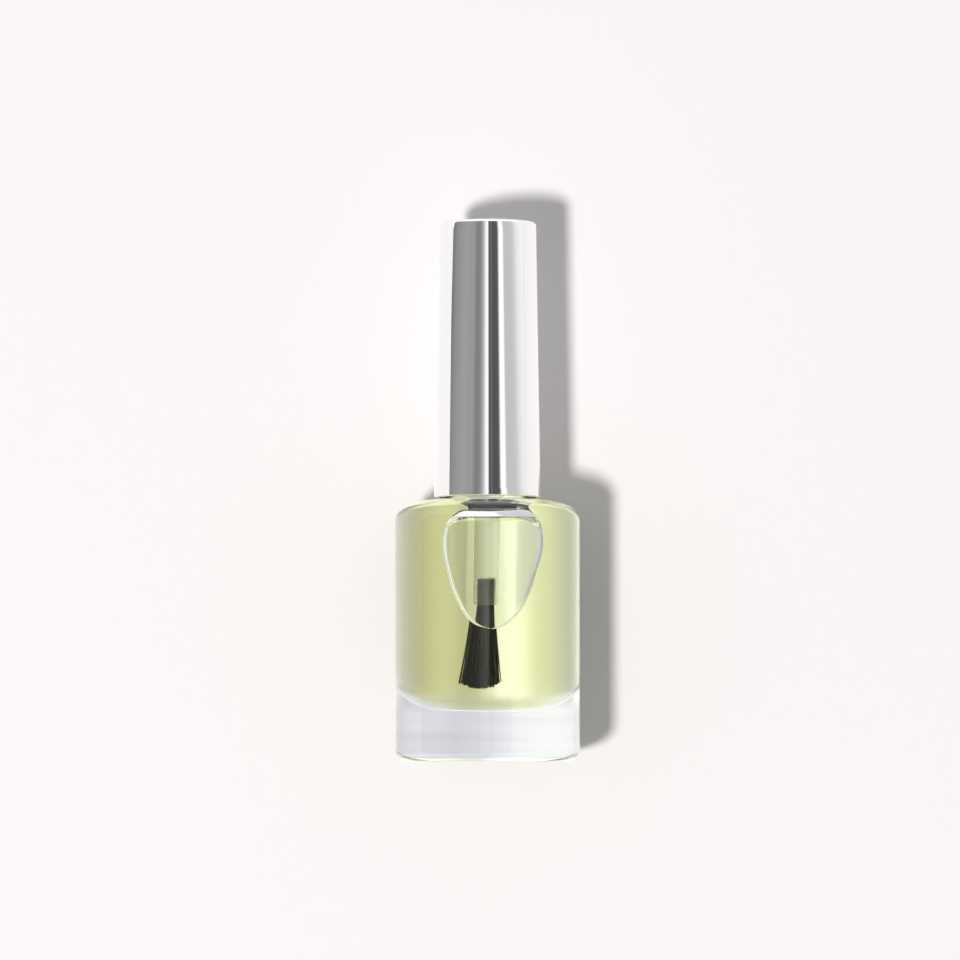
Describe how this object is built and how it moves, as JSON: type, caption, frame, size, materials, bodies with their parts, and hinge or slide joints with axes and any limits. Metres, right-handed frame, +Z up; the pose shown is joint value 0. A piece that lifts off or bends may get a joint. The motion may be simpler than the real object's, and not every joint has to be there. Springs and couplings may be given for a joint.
{
  "type": "cosmetic oil bottle",
  "caption": "Round glass bottle of pale oil with a tall tapered chrome cap that turns, lifts off and carries a brush.",
  "frame": {"origin": "centre of the circle that the bottle stands on", "axes": "+Z up along the bottle's axis, -Y towards the front, where the air bubble lies"},
  "size_m": [0.028, 0.028, 0.0816],
  "materials": {
    "flint_glass": "fire polished",
    "oil": "clear liquid",
    "chromed_sleeve": "mirror",
    "closure_plastic": "moulded",
    "liner_foam": "soft",
    "stem_plastic": "satin",
    "bristle_nylon": "satin",
    "staple_steel": "drawn"
  },
  "bodies": {
    "bottle": {"glass_bottle": "flint_glass", "oil": "oil"},
    "liner": {"sealing_liner": "liner_foam"},
    "cap": {"cap_sleeve": "chromed_sleeve", "inner_cap": "closure_plastic", "brush_stem": "stem_plastic", "bristle_tuft": "bristle_nylon", "bristle_staple": "staple_steel"}
  },
  "joints": [
    {"name": "cap_lift", "type": "slide", "parent": "bottle", "child": "liner", "axis": [0, 0, 1], "range_m": [0, 0.045]},
    {"name": "cap_turn", "type": "hinge", "parent": "liner", "child": "cap", "pos_m": [0, 0, 0.0511], "axis": [0, 0, 1], "range_deg": [0, 540]}
  ]
}
